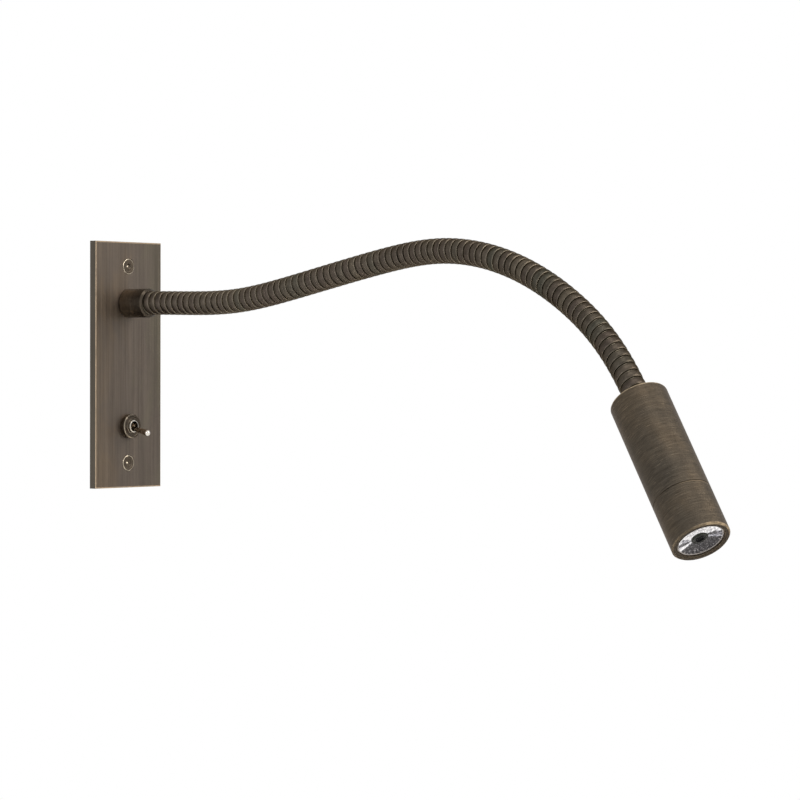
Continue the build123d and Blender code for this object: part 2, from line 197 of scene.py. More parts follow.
def aboutAxis(tree, where, start, way):
    # distance along an axis, the part of the place that lies across it, and the distance from it
    offset = workVector(tree, "SUBTRACT", where, tuple(start))
    along = workVector(tree, "DOT_PRODUCT", offset, tuple(way))
    across = workVector(tree, "SUBTRACT", offset, workVector(tree, "SCALE", tuple(way), scale=along))
    return along, across, workVector(tree, "LENGTH", across)


def dents(tree, skin, height, depth):
    node = tree.nodes.new("ShaderNodeBump")
    node.inputs["Distance"].default_value = depth
    feed(tree, node.inputs["Height"], height)
    tree.links.new(node.outputs["Normal"], skin.inputs["Normal"])


def startFinish(name, metal, rough, sockets=(), edgeTint=(0.60, 0.56, 0.50)):
    finish = bpy.data.materials.new(name)
    finish.use_nodes = True
    tree = finish.node_tree
    skin = tree.nodes["Principled BSDF"]
    skin.inputs["Metallic"].default_value = metal
    skin.inputs["Roughness"].default_value = rough
    if metal:
        skin.inputs["Specular Tint"].default_value = (*edgeTint, 1)
    for socket, value in sockets:
        skin.inputs[socket].default_value = value
    where = tree.nodes.new("ShaderNodeTexCoord").outputs["Object"]
    return finish, tree, skin, where


# turned pieces: fine lines round an axis, worn bright at their edges, with painted highlights on some
# edges
turnedGrain = {
    "shares": (0.78, 0.22),                  # of the fine and the broad lines
    "broadScale": 0.16,                      # of the fine lines' scale
    "greyStretch": (0.3, 0.7),
    "roughStretch": (0.25, 0.75),
    "scratchSpan": 0.14,
    "wearAndGlintCore": 0.4,                         # share of an edge mark's width that is at full strength
    "raggedScale": 260,
    "raggedStretch": (0.30, 0.62),
}


def foldedHeight(tree, where):
    # the same piece above and below the middle
    level = workVector(tree, "MULTIPLY", where, (1, 1, 0))
    height = workVector(tree, "MULTIPLY", workVector(tree, "ABSOLUTE", where), (0, 0, 1))
    return workVector(tree, "ADD", level, height)


def wearAndGlintEdges(tree, look, where, along, radial, across):
    # how bare each spot is, from the edges that the look lists; on the screws, the bezel and the lever's
    # ball these marks are painted highlights
    reaches = {
        "along": along,
        "radial": radial,
        "corner": work(tree, "ADD", along, radial),
        "shoulder": work(tree, "SUBTRACT", radial, along),
    }
    worn = None
    for coordinate, place, half, share in look["worn"]:
        reach = work(tree, "ABSOLUTE", work(tree, "SUBTRACT", reaches[coordinate], place))
        near = ramp(tree, reach, half * turnedGrain["wearAndGlintCore"], half, share, 0.0)
        worn = near if worn is None else work(tree, "MAXIMUM", worn, near)
    torn = cloud(tree, where, (turnedGrain["raggedScale"],) * 3, detail=3.0)
    ragged = ramp(tree, torn, *turnedGrain["raggedStretch"], look["wearAndGlintLeast"], 1.0)
    worn = work(tree, "MULTIPLY", work(tree, "MULTIPLY", worn, ragged), look["wearAndGlintShare"])
    if "glintSide" in look:                   # painted highlight: stronger on the side that faces the light
        side, low, high, least = look["glintSide"]
        facing = workVector(tree, "DOT_PRODUCT", workVector(tree, "NORMALIZE", across), side)
        worn = work(tree, "MULTIPLY", worn, ramp(tree, facing, low, high, least, 1.0))
    return worn


def turnedFinish(name, look):
    finish, tree, skin, where = startFinish(name, look["metal"], look["rough"], (), look["edgeTint"])
    if "mirrorHeight" in look:
        where = foldedHeight(tree, where)
    way = Vector(look["way"]).normalized()
    along, across, radial = aboutAxis(tree, where, look["start"], way)
    cut = work(tree, "ADD", along, radial)
    lineScale = look["lineScale"]
    alongCut = workVector(tree, "SCALE", tuple(way), scale=work(tree, "MULTIPLY", cut, lineScale))
    streaked = workVector(tree, "MULTIPLY", across, (look["streak"],) * 3)
    fine = cloud(tree, workVector(tree, "ADD", alongCut, streaked), detail=4.0, rough=0.65)
    broad = lines(tree, cut, lineScale * turnedGrain["broadScale"], detail=3.0)
    fineShare, broadShare = turnedGrain["shares"]
    shade = shared(tree, (fine, fineShare), (broad, broadShare))
    drift = cloud(tree, where, (look["patch"],) * 3, detail=3.0, twist=0.4)
    colour = tones(tree, drift, look["tones"])
    colour = greyed(tree, colour, shade, turnedGrain["greyStretch"], (1 - look["lineDepth"], 1.0))
    for place, half, dark in look["rings"]:
        reach = work(tree, "ABSOLUTE", work(tree, "SUBTRACT", along, place))
        colour = greyed(tree, colour, reach, (half * turnedGrain["wearAndGlintCore"], half), (dark, 1.0))
    scratchEnd = look["scratchFrom"] + turnedGrain["scratchSpan"]
    bright = ramp(tree, fine, look["scratchFrom"], scratchEnd, 0.0, look["scratchShare"])
    colour = mixColours(tree, bright, colour, look["scratchTone"])
    if "fade" in look:                       # darker towards one end
        low, high, dark = look["fade"]
        colour = greyed(tree, colour, along, (low, high), (1.0, dark))
    least, most = look["rough"] - look["roughSpread"], look["rough"] + look["roughSpread"]
    rough = ramp(tree, shade, *turnedGrain["roughStretch"], least, most)
    # worn edges and painted highlights: brighter and smoother
    if look["worn"]:
        worn = wearAndGlintEdges(tree, look, where, along, radial, across)
        colour = mixColours(tree, worn, colour, look["wearAndGlintTone"])
        smoothed = work(tree, "MULTIPLY", worn, look["rough"] * look["wearAndGlintSmooth"])
        rough = work(tree, "SUBTRACT", rough, smoothed)
    tree.links.new(colour, skin.inputs["Base Color"])
    tree.links.new(rough, skin.inputs["Roughness"])
    dents(tree, skin, shade, look["bump"])
    return finish


# wall plate: brushed along its height, hue drifting across it
plateLook = {
    "tones": ((0.18, (0.136, 0.106, 0.079)), (0.40, (0.119, 0.098, 0.081)),
              (0.58, (0.110, 0.092, 0.078)), (0.80, (0.116, 0.101, 0.079))),
    "edgeTone": (0.38, 0.29, 0.20),
    "sideTone": (0.106, 0.092, 0.075),
    "halfWide": 0.0225,
    "halfHigh": 0.060,
    "edge": 0.0003,
    "endEdge": 0.0005,
    "edgeSoft": 0.00015,
    "frontFrom": (-0.00365, -0.0037),        # only the front of an edge is worn
    "sideFrom": (0.00008, 0.00004),          # inside the half width
    # each brushing: cloud scale across, outward and up the plate, then detail, roughness and share
    "brushing": (((5200, 900, 34), 4.0, 0.7, 0.35), ((1100, 300, 14), 5.0, 0.65, 0.40),
                 ((260, 100, 8), 3.0, 0.55, 0.25)),
    "patch": (60, 60, 26),
    "hueAcross": 10.0,
    "greys": (0.74, 1.10),
    "rough": 0.42,
    "bump": 0.00006,
}


def plateFinish(look):
    finish, tree, skin, where = startFinish("brushedPlate", 1.0, look["rough"])
    split = tree.nodes.new("ShaderNodeSeparateXYZ")
    tree.links.new(where, split.inputs[0])
    across, outwards, height = split.outputs
    besideMiddle = work(tree, "ABSOLUTE", across)
    strokes = [(cloud(tree, where, scale, detail, rough), share)
               for scale, detail, rough, share in look["brushing"]]
    brushed = shared(tree, *strokes)
    patch = cloud(tree, where, look["patch"], detail=4.0, twist=0.8)
    hue = work(tree, "ADD", patch, work(tree, "MULTIPLY", across, look["hueAcross"]))
    colour = tones(tree, hue, look["tones"])
    sideFrom, sideTo = (look["halfWide"] - inside for inside in look["sideFrom"])
    colour = mixColours(tree, ramp(tree, besideMiddle, sideFrom, sideTo), colour, look["sideTone"])
    colour = greyed(tree, colour, brushed, (0.36, 0.64), look["greys"])
    sideGap = work(tree, "SUBTRACT", besideMiddle, look["halfWide"] - look["edge"])
    endGap = work(tree, "SUBTRACT", work(tree, "ABSOLUTE", height), look["halfHigh"] - look["endEdge"])
    nearEdge = ramp(tree, work(tree, "MAXIMUM", sideGap, endGap), -look["edgeSoft"], 0.0)
    front = ramp(tree, outwards, *look["frontFrom"])
    ragged = ramp(tree, cloud(tree, where, (500, 500, 120), detail=3.0), 0.25, 0.6, 0.55, 1.0)
    worn = work(tree, "MULTIPLY", work(tree, "MULTIPLY", nearEdge, front), ragged)
    colour = mixColours(tree, worn, colour, look["edgeTone"])
    tree.links.new(colour, skin.inputs["Base Color"])
    rough = ramp(tree, brushed, 0.3, 0.7, look["rough"] - 0.08, look["rough"] + 0.10)
    tree.links.new(rough, skin.inputs["Roughness"])
    dents(tree, skin, brushed, look["bump"])
    return finish


# the banded flexible arm, in metres and degrees
armShape = {
    "start": (0, -lampPlaces["collarFace"], lampPlaces["armHeight"]),
    "end": (-0.039, -0.3385, -0.0145),
    "headTurn": 22.5,
    "headDrop": 49.5,
    "length": 0.34522,
    "bands": 88,
    "bandsPerSection": 4,
    "hiddenBands": 2,
    "cuff": 0.0025,                          # how far the last band goes into the head
    "joinHalf": 0.006,                       # half the stretch that bends at each joint
    "bandSteps": 56,                         # per turn
    "wireSteps": 40,
    "markRadius": 0.0057,                    # where the length of the winding is measured
    # half section of the flat outer band: along the arm, from its axis, in metres
    "band": ((-0.00161, 0.00515), (-0.00159, 0.00545), (-0.00145, 0.00563), (-0.00080, 0.00573),
             (0, 0.00575), (0.00080, 0.00573), (0.00145, 0.00563), (0.00159, 0.00545),
             (0.00161, 0.00515), (0.00120, 0.00455), (-0.00120, 0.00455)),
    "wireFromAxis": 0.00400,
    "wireRadius": 0.00118,
}
outward = Vector((0, -1, 0))
headWay = Vector((
    -sin(radians(armShape["headTurn"])) * cos(radians(armShape["headDrop"])),
    -cos(radians(armShape["headTurn"])) * cos(radians(armShape["headDrop"])),
    -sin(radians(armShape["headDrop"])),
))
headTop = Vector(armShape["end"])
neckJoints = [joint for joint in frame["joints"] if joint["name"].startswith("neck_bend")]
neckJoints.sort(key=lambda joint: joint["name"])
sections = len(neckJoints) + 1
bandPitch = armShape["length"] / armShape["bands"]
sectionLength = armShape["length"] / sections


def fitArmLine():
    # smooth line through the collar, every joint and the top of the head
    knots = [armShape["start"]] + [joint["pos_m"] for joint in neckJoints] + [armShape["end"]]
    knots = np.array(knots, float)
    count = len(knots)
    system = np.eye(count)
    target = np.zeros((count, 3))
    target[0] = outward
    target[-1] = headWay
    for row in range(1, count - 1):
        system[row, row - 1:row + 2] = (1, 4, 1)
        target[row] = 3 * (knots[row + 1] - knots[row - 1]) / sectionLength
    return knots, np.linalg.solve(system, target)


armKnots, armSlopes = fitArmLine()


def armPlace(distance):
    # centre, way, side and up of the arm at distances along it, straight beyond its ends
    distance = np.asarray(distance, float)
    inside = np.clip(distance, 0, armShape["length"] - 1e-9)
    index = np.minimum((inside / sectionLength).astype(int), sections - 1)
    t = (inside / sectionLength - index)[:, None]
    p0, p1 = armKnots[index], armKnots[index + 1]
    m0, m1 = armSlopes[index] * sectionLength, armSlopes[index + 1] * sectionLength
    centre = (2 * t**3 - 3 * t**2 + 1) * p0 + (t**3 - 2 * t**2 + t) * m0
    centre += (3 * t**2 - 2 * t**3) * p1 + (t**3 - t**2) * m1
    way = (6 * t**2 - 6 * t) * (p0 - p1) + (3 * t**2 - 4 * t + 1) * m0 + (3 * t**2 - 2 * t) * m1
    way /= np.linalg.norm(way, axis=1)[:, None]
    centre = centre + way * (distance - inside)[:, None]
    side = np.array((1.0, 0, 0)) - way * way[:, :1]
    side /= np.linalg.norm(side, axis=1)[:, None]
    return centre, way, side, np.cross(way, side)


def meshFrom(name, points, faces, finishes, faceFinish=None, marks=None):
    mesh = bpy.data.meshes.new(name)
    mesh.from_pydata([tuple(p) for p in points], [], faces)
    for finish in finishes:
        mesh.materials.append(finish)
    if faceFinish is not None:
        mesh.polygons.foreach_set("material_index", faceFinish)
    mesh.polygons.foreach_set("use_smooth", [True] * len(mesh.polygons))
    if marks is not None:                    # marks are (along, across) for every point
        layer = mesh.uv_layers.new(name="along")
        corners = np.zeros(len(mesh.loops), int)
        mesh.loops.foreach_get("vertex_index", corners)
        layer.data.foreach_set("uv", np.asarray(marks)[corners].ravel())
    piece = bpy.data.objects.new(name, mesh)
    bpy.context.scene.collection.objects.link(piece)
    return piece


def coil(firstTurn, lastTurn, steps, section, shift=0.0):
    # a closed section swept round the arm as a right-hand helix, with its own long and cross marks
    count = int(round((lastTurn - firstTurn) * steps)) + 1
    turn = np.linspace(firstTurn, lastTurn, count)
    centre, way, side, up = armPlace((turn + shift) * bandPitch)
    angle = turn * 2 * pi
    out = np.cos(angle)[:, None] * side + np.sin(angle)[:, None] * up
    section = np.asarray(section, float)
    points = centre[:, None] + out[:, None] * section[None, :, 1:] + way[:, None] * section[None, :, :1]
    wide = len(section)
    faces = []
    for row in range(count - 1):
        for k in range(wide):
            a, b = row * wide + k, row * wide + (k + 1) % wide
            faces.append((a, a + wide, b + wide, b))
    long = np.repeat(turn * 2 * pi * armShape["markRadius"], wide)
    across = np.tile(section[:, 0], count)
    points, marks = points.reshape(-1, 3), np.stack((long, across), 1)
    # end caps have points of their own, so the shading runs on past them
    total = len(points)
    faces.append(tuple(range(total, total + wide)))
    faces.append(tuple(range(total + wide, total + 2 * wide))[::-1])
    points = np.concatenate((points, points[:wide], points[-wide:]))
    marks = np.concatenate((marks, marks[:wide], marks[-wide:]))
    return points, faces, marks


def roundSection(radius, fromAxis, corners=8):
    spread = [2 * pi * k / corners for k in range(corners)]
    return [(radius * sin(a), fromAxis + radius * cos(a)) for a in spread]


def armPiece(name, firstTurn, lastTurn, bandMaterial, wireMaterial):
    points, faces, marks = coil(firstTurn, lastTurn, armShape["bandSteps"], armShape["band"])
    wire = roundSection(armShape["wireRadius"], armShape["wireFromAxis"])
    wirePoints, wireFaces, wireMarks = coil(firstTurn, lastTurn, armShape["wireSteps"], wire, 0.5)
    shift = len(points)
    faceFinish = [0] * len(faces) + [1] * len(wireFaces)
    faces = faces + [tuple(i + shift for i in face) for face in wireFaces]
    points = np.concatenate((points, wirePoints))
    marks = np.concatenate((marks, wireMarks))
    return meshFrom(name, points, faces, (bandMaterial, wireMaterial), faceFinish, marks)


def turnProfile(name, profile, steps, start, way, finish, shaped=None):
    # a profile of (distance, radius) in millimetres turned about an axis; shaped changes the radius
    across = way.orthogonal().normalized()
    upper = way.cross(across)
    points, faces, rows = [], [], []
    for distance, radius in profile:
        centre = start + way * distance * metresPerMm
        if radius == 0:
            rows.append([len(points)] * steps)
            points.append(centre)
            continue
        rows.append(list(range(len(points), len(points) + steps)))
        for k in range(steps):
            angle = 2 * pi * k / steps
            reach = shaped(distance, radius, angle) if shaped else radius
            points.append(centre + (across * cos(angle) + upper * sin(angle)) * reach * metresPerMm)
    for near, far in zip(rows, rows[1:]):
        for k in range(steps):
            face = []
            for corner in (near[k], near[(k + 1) % steps], far[(k + 1) % steps], far[k]):
                if corner not in face:
                    face.append(corner)
            if len(face) > 2:
                faces.append(tuple(face))
    return meshFrom(name, points, faces, (finish,))


bandLook = {
    "tones": ((0.28, (0.080, 0.074, 0.058)), (0.44, (0.094, 0.078, 0.061)),
              (0.56, (0.086, 0.069, 0.056)), (0.74, (0.108, 0.090, 0.068))),
    "driftScale": 6.0,                       # along the winding
    "drawnScale": (90, 3800, 0),             # along and across the winding
    "rubbedScale": 420,
    "greys": (0.56, 1.14),
    # metres along the winding, and how bright the bands are at both ends of that stretch
    "stretchAlongArm": (0.4, 3.1),
    "greysAlongArm": (1.20, 0.84),
    "edgeGlintFrom": (0.00134, 0.00154),          # painted highlights along the bands' edges, from the middle of a band
    "edgeTone": (0.17, 0.145, 0.11),
    "firstEdgeGlint": (0.19, 0.165, 0.125),   # brighter painted highlights beside the collar
    "firstGlintStretch": (0.2, 1.2),
    "edgeTint": (0.42, 0.40, 0.37),
    "rough": 0.45,
    "bump": 0.00004,
}
wireLook = {
    "tone": (0.42, 0.36, 0.27),
    "darkShare": 0.6,
    "drawnScale": (60, 3000, 0),
    # painted shade: the inner wire darker in the grooves away from the collar
    "stretchAlongArm": (0.3, 1.1),
    "greysAlongArm": (1.0, 0.30),
    "rough": (0.22, 0.28, 0.36),             # least, plain and most
    "bump": 0.00003,
}


def windingMarks(tree):
    # both marks of the winding as one vector, then the long and the cross mark
    marks = tree.nodes.new("ShaderNodeTexCoord").outputs["UV"]
    split = tree.nodes.new("ShaderNodeSeparateXYZ")
    tree.links.new(marks, split.inputs[0])
    return marks, split.outputs[0], split.outputs[1]


def bandFinish(look):
    finish, tree, skin, where = startFinish("armBand", 1.0, look["rough"], (), look["edgeTint"])
    marks, along, across = windingMarks(tree)
    colour = tones(tree, lines(tree, along, look["driftScale"], detail=2.0), look["tones"])
    drawn = cloud(tree, marks, look["drawnScale"], detail=4.0, rough=0.6)
    rubbed = cloud(tree, where, (look["rubbedScale"],) * 3, detail=4.0)
    shade = shared(tree, (drawn, 0.6), (rubbed, 0.4))
    colour = greyed(tree, colour, shade, (0.36, 0.64), look["greys"])
    colour = greyed(tree, colour, along, look["stretchAlongArm"], look["greysAlongArm"])
    # painted highlights along both edges of every band, brighter beside the collar
    edge = ramp(tree, work(tree, "ABSOLUTE", across), *look["edgeGlintFrom"])
    ragged = ramp(tree, cloud(tree, where, (90,) * 3, detail=3.0), 0.36, 0.60, 0.2, 0.8)
    edgeTone = tones(tree, ramp(tree, along, *look["firstGlintStretch"]),
                     ((0.0, look["firstEdgeGlint"]), (1.0, look["edgeTone"])))
    colour = mixColours(tree, work(tree, "MULTIPLY", edge, ragged), colour, edgeTone)
    tree.links.new(colour, skin.inputs["Base Color"])
    rough = ramp(tree, shade, 0.3, 0.7, look["rough"] - 0.08, look["rough"] + 0.10)
    tree.links.new(rough, skin.inputs["Roughness"])
    dents(tree, skin, shade, look["bump"])
    return finish


def innerWireFinish(look):
    least, plain, most = look["rough"]
    finish, tree, skin, where = startFinish("armInnerWire", 1.0, plain)
    marks, along, across = windingMarks(tree)
    drawn = cloud(tree, marks, look["drawnScale"], detail=3.0)
    dark = tuple(look["darkShare"] * c for c in look["tone"])
    colour = tones(tree, ramp(tree, drawn, 0.35, 0.65), ((0.0, dark), (1.0, look["tone"])))
    colour = greyed(tree, colour, along, look["stretchAlongArm"], look["greysAlongArm"])
    tree.links.new(colour, skin.inputs["Base Color"])
    tree.links.new(ramp(tree, drawn, 0.3, 0.7, least, most), skin.inputs["Roughness"])
    dents(tree, skin, drawn, look["bump"])
    return finish


def bentStretch(index):
    # both ends of the stretch of arm that bends at a joint, counted from 1
    centre, way, side, up = armPlace([index * sectionLength])
    middle, reach = Vector(centre[0]), Vector(way[0]) * armShape["joinHalf"]
    return middle - reach, middle + reach


def buildArm():
    bandMaterial, wireMaterial = bandFinish(bandLook), innerWireFinish(wireLook)
    half = armShape["bandsPerSection"] / 2
    first = armPiece("arm_coil_00", -armShape["hiddenBands"], half, bandMaterial, wireMaterial)
    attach(first, "base")
    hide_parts("neck_section_01")
    for index, joint in enumerate(neckJoints):
        middle = (index + 1) * armShape["bandsPerSection"]
        piece = armPiece(f"arm_coil_{index + 1:02d}", middle - half, middle + half,
                         bandMaterial, wireMaterial)
        start, end = bentStretch(index + 1)
        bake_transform(piece)
        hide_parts(f"neck_section_{index + 1:02d}", f"neck_section_{index + 2:02d}")
    lastTurn = armShape["bands"] + armShape["cuff"] / bandPitch
    last = armPiece(f"arm_coil_{len(neckJoints) + 1:02d}", armShape["bands"] - half, lastTurn,
                    bandMaterial, wireMaterial)
    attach(last, "head")
    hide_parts(f"neck_section_{sections:02d}")


buildArm()
print("arm wound:", armShape["bands"], "bands in", sections + 1, "pieces")

# the two leads, from the bush behind the plate to the lamp board
leadShape = {
    "radius": 0.0008,
    "beside": 0.00095,                       # each lead beside the middle
    "rear": 0.0075,                          # where they leave the bush, behind the wall's face
    "board": 0.0602,                         # front of the lamp board, from the top of the head
    "holeBeside": 0.0064,                    # the board's holes, beside the head's axis
    "turnFrom": 0.013,
    "turnTo": 0.0365,
    "corners": 10,
    "step": 0.0015,
}
coverLook = {
    "red": ((0.52, 0.020, 0.016), (0.36, 0.012, 0.010)),
    "black": ((0.020, 0.020, 0.021), (0.010, 0.010, 0.011)),
    "coat": 0.15,
    "rough": (0.38, 0.45, 0.55),             # least, plain and most
    "mottle": 350,
    "grain": 1400,
    "bump": 0.00002,
}


def insulationFinish(name, look, colour, deep):
    least, plain, most = look["rough"]
    finish, tree, skin, where = startFinish(name, 0.0, plain, (("Coat Weight", look["coat"]),))
    mottled = cloud(tree, where, (look["mottle"],) * 3, detail=4.0)
    tree.links.new(tones(tree, mottled, ((0.3, deep), (0.7, colour))), skin.inputs["Base Color"])
    tree.links.new(ramp(tree, mottled, 0.3, 0.7, least, most), skin.inputs["Roughness"])
    dents(tree, skin, cloud(tree, where, (look["grain"],) * 3, detail=3.0), look["bump"])
    return finish


def leadPiece(name, start, end, hand, finish):
    shape = leadShape
    count = max(int((end - start) / shape["step"]), 3) + 1
    distance = np.linspace(start, end, count)
    centre, way, side, up = armPlace(distance)
    inHead = (distance - armShape["length"] - shape["turnFrom"]) / (shape["turnTo"] - shape["turnFrom"])
    inHead = np.clip(inHead, 0, 1)
    shift = shape["holeBeside"] * inHead**2 * (3 - 2 * inHead) + hand * shape["beside"]
    middle = centre + side * shift[:, None]
    angles = np.linspace(0, 2 * pi, shape["corners"], endpoint=False)
    ring = np.cos(angles)[None, :, None] * side[:, None] + np.sin(angles)[None, :, None] * up[:, None]
    points = (middle[:, None] + ring * shape["radius"]).reshape(-1, 3)
    wide = shape["corners"]
    faces = []
    for row in range(count - 1):
        for k in range(wide):
            a, b = row * wide + k, row * wide + (k + 1) % wide
            faces.append((a, b, b + wide, a + wide))
    faces.append(tuple(range(wide))[::-1])
    faces.append(tuple(range((count - 1) * wide, count * wide)))
    return meshFrom(name, points, faces, (finish,))


def buildLead(colourName, hand, finish, node):
    rear = -(lampPlaces["collarFace"] + leadShape["rear"])
    cuts = [rear] + [(k + 0.5) * sectionLength for k in range(sections)]
    cuts.append(armShape["length"] + leadShape["board"])
    for index in range(len(cuts) - 1):
        piece = leadPiece(f"{colourName}_lead_{index:02d}", cuts[index], cuts[index + 1], hand, finish)
        if index == 0:
            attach(piece, "base")
        elif index == len(cuts) - 2:
            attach(piece, "head")
        else:
            start, end = bentStretch(index)
            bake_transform(piece)
        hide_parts(node)


redCover = insulationFinish("redCover", coverLook, *coverLook["red"])
blackCover = insulationFinish("blackCover", coverLook, *coverLook["black"])
buildLead("red", 1, redCover, "red_lead")
buildLead("black", -1, blackCover, "black_lead")
print("leads drawn")

# lamp head
headLook = {
    "start": tuple(headTop),
    "way": tuple(headWay),
    "metal": 1.0,
    "rough": 0.46,
    "roughSpread": 0.12,
    "lineScale": 3800,
    "streak": 210,
    "lineDepth": 0.56,
    "patch": 45,
    "tones": ((0.30, (0.077, 0.065, 0.051)), (0.50, (0.094, 0.077, 0.058)),
              (0.70, (0.112, 0.087, 0.061))),
    "scratchTone": (0.29, 0.23, 0.165),
    "scratchFrom": 0.615,
    "scratchShare": 0.8,
    "wearAndGlintTone": (0.46, 0.36, 0.24),
    "wearAndGlintShare": 1.0,
    "wearAndGlintLeast": 0.45,
    "wearAndGlintSmooth": 0.35,
    # worn edges: where they are measured, the place, half the width and the share
    "worn": (("shoulder", 0.0122, 0.0005, 0.6),),
    # darker turning marks: distance from the top of the head, half the width, how dark
    "rings": ((0.0128, 0.0003, 0.86), (0.0154, 0.00025, 0.84), (0.0190, 0.0002, 0.90),
              (0.0262, 0.00025, 0.90), (0.0372, 0.0002, 0.92), (0.0513, 0.00035, 0.76)),
    "bump": 0.00014,
    "edgeTint": (0.84, 0.79, 0.75),
}
headFinish = turnedFinish("turnedHead", headLook)
headBeside = headWay.cross(Vector((0, 0, 1))).normalized()
headUpper = headBeside.cross(headWay).normalized()
bezelLit = (headUpper - headBeside * 0.3).normalized()
# the bezel's seam, front corner and lens edge: wear and a painted golden highlight, strongest on the upper
# side that faces the key light
bezelLook = dict(
    headLook, wearAndGlintTone=(0.54, 0.41, 0.26), wearAndGlintLeast=0.25, wearAndGlintSmooth=0.45,
    worn=(("along", 0.0517, 0.0003, 0.50), ("corner", 0.0854, 0.00022, 0.75),
          ("radial", 0.0101, 0.0003, 0.3)),
    rings=((0.0534, 0.00022, 0.80), (0.0552, 0.0003, 0.82), (0.0576, 0.00022, 0.84),
           (0.0604, 0.0003, 0.84), (0.0645, 0.00022, 0.88)),
    glintSide=(tuple(bezelLit), 0.45, 1.0, 0.13),
    fade=(0.07325, 0.07345, 0.55),
)

switchStart = (0, 0, lampPlaces["switchHeight"])
collarLook = dict(
    headLook, start=(0, 0, lampPlaces["armHeight"]), way=tuple(outward), rough=0.34, lineScale=2600,
    lineDepth=0.30, patch=90,
    tones=((0.3, (0.185, 0.150, 0.116)), (0.5, (0.222, 0.180, 0.136)), (0.7, (0.250, 0.200, 0.148))),
    # painted shade: the collar darker towards its front end, where the arm goes in
    worn=(), fade=(0.005, 0.0188, 0.34), rings=(),
    edgeTint=(0.7, 0.7, 0.7),
)
ringLook = dict(
    headLook, rings=(), start=switchStart, way=tuple(outward), rough=0.32, lineScale=3000, patch=120,
    tones=((0.3, (0.070, 0.058, 0.045)), (0.5, (0.092, 0.075, 0.058)), (0.7, (0.112, 0.090, 0.068))),
    wearAndGlintTone=(0.42, 0.36, 0.28), wearAndGlintShare=0.45,
    worn=(("radial", 0.0057, 0.0003, 1.0), ("radial", 0.0035, 0.0002, 0.4)),
)
screwLook = dict(
    ringLook, start=(0, 0, lampPlaces["screwHeight"]), mirrorHeight=True, rough=0.46, wearAndGlintSmooth=0.1,
    wearAndGlintTone=(0.62, 0.55, 0.44), wearAndGlintShare=1.0, wearAndGlintLeast=0.8,
    # painted highlights: a bright ring round the head's chamfer and a bright dot in the middle of the
    # socket
    worn=(("radial", 0.0037, 0.00035, 0.9), ("radial", 0.0, 0.0008, 1.0)),
)
nickelLook = dict(
    headLook, rings=(), scratchShare=0.0, start=switchStart, way=tuple(outward), rough=0.16,
    roughSpread=0.05, lineScale=2400, lineDepth=0.16, patch=200,
    tones=((0.3, (0.42, 0.37, 0.30)), (0.7, (0.56, 0.50, 0.42))), wearAndGlintTone=(0.85, 0.84, 0.82),
    wearAndGlintShare=0.3, worn=(("along", 0.0079, 0.0003, 1.0),), bump=0.00002,
    edgeTint=(0.95, 0.95, 0.95),
)
leverLean = radians(lampPlaces["leverTilt"])
leverLook = dict(
    nickelLook, start=(0, -lampPlaces["leverPivot"], lampPlaces["switchHeight"]),
    way=(0, -cos(leverLean), -sin(leverLean)), rough=0.24,
    tones=((0.3, (0.30, 0.24, 0.17)), (0.7, (0.42, 0.34, 0.26))), wearAndGlintTone=(0.66, 0.63, 0.59),
    wearAndGlintShare=1.0, wearAndGlintLeast=0.8,
    # the worn tip, and a painted highlight on the ball at the lever's root inside the bushing
    worn=(("along", 0.0151, 0.0010, 1.0), ("along", 0.0, 0.0036, 0.8)),
)
sinkLook = dict(
    headLook, rings=(), scratchShare=0.0, rough=0.30, lineScale=2200, lineDepth=0.18,
    tones=((0.3, (0.62, 0.63, 0.64)), (0.7, (0.74, 0.75, 0.76))), wearAndGlintTone=(0.9, 0.9, 0.9), wearAndGlintShare=0.5,
    worn=(("along", 0.0364, 0.0005, 1.0),),
)
holderLook = dict(
    headLook, rings=(), scratchShare=0.0, rough=0.12, roughSpread=0.05, lineScale=1500, lineDepth=0.10,
    tones=((0.3, (0.80, 0.80, 0.82)), (0.7, (0.90, 0.90, 0.91))), wearAndGlintTone=(0.95, 0.95, 0.95),
    wearAndGlintShare=0.3, worn=(), bump=0.00003,
)


# plain plated, plastic, board and solder finishes
def plainFinish(name, look):
    finish, tree, skin, where = startFinish(name, look["metal"], look["rough"], look.get("sockets", ()))
    mottled = cloud(tree, where, (look["grain"],) * 3, detail=5.0, twist=0.3)
    fine = cloud(tree, where, (look["grain"] * 6,) * 3, detail=3.0)
    colour = tones(tree, mottled, ((0.32, look["deep"]), (0.68, look["colour"])))
    tree.links.new(colour, skin.inputs["Base Color"])
    tree.links.new(ramp(tree, mottled, 0.3, 0.7, look["rough"] - 0.06, look["rough"] + 0.08),
                   skin.inputs["Roughness"])
    dents(tree, skin, fine, look["bump"])
    return finish


zincPlate = plainFinish("zincPlate", {
    "metal": 1.0, "rough": 0.34, "grain": 160, "colour": (0.66, 0.67, 0.66), "deep": (0.50, 0.51, 0.50),
    "bump": 0.00003})
brassPlain = plainFinish("brassPlain", {
    "metal": 1.0, "rough": 0.30, "grain": 140, "colour": (0.80, 0.58, 0.28), "deep": (0.62, 0.42, 0.19),
    "bump": 0.00003})
blackMoulding = plainFinish("blackMoulding", {
    "metal": 0.0, "rough": 0.45, "grain": 220, "colour": (0.026, 0.025, 0.025),
    "deep": (0.014, 0.014, 0.014), "bump": 0.00003, "sockets": (("Specular IOR Level", 0.45),)})
boardMask = plainFinish("boardMask", {
    "metal": 0.0, "rough": 0.32, "grain": 180, "colour": (0.86, 0.86, 0.84), "deep": (0.78, 0.78, 0.76),
    "bump": 0.00001, "sockets": (("Coat Weight", 0.3),)})
chipGel = plainFinish("chipGel", {
    "metal": 0.0, "rough": 0.22, "grain": 900, "colour": (0.84, 0.58, 0.10), "deep": (0.74, 0.48, 0.06),
    "bump": 0.00001, "sockets": (("Coat Weight", 0.5),)})
